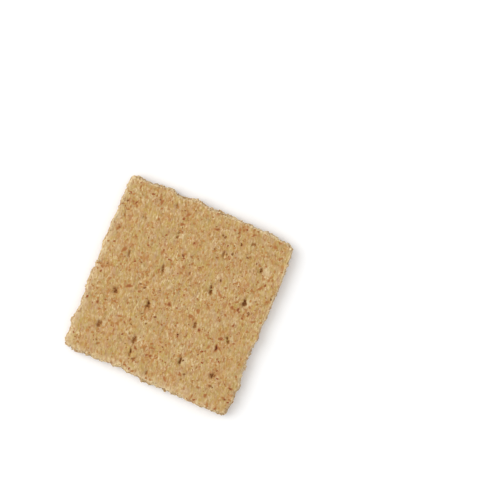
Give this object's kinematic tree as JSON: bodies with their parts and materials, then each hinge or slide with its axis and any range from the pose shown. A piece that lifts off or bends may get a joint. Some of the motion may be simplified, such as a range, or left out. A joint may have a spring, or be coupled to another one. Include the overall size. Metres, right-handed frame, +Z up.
{
  "type": "graham cracker",
  "caption": "Flat square baked biscuit with rough crumbly sides, rows of docking holes and a faint score line across the middle.",
  "frame": {"origin": "on the surface that the cracker lies on, under the middle of its outline", "axes": "+Z up through the thickness, out of the docked top; +Y along the score line, from the front side to the back side; +X from the left side to the right side"},
  "size_m": [0.064, 0.0656, 0.0053],
  "materials": {
    "baked_dough": "dry matte whole wheat crumb, pale tan with fine reddish brown bran specks"
  },
  "bodies": {
    "root": {"cracker": "baked_dough"}
  },
  "joints": []
}
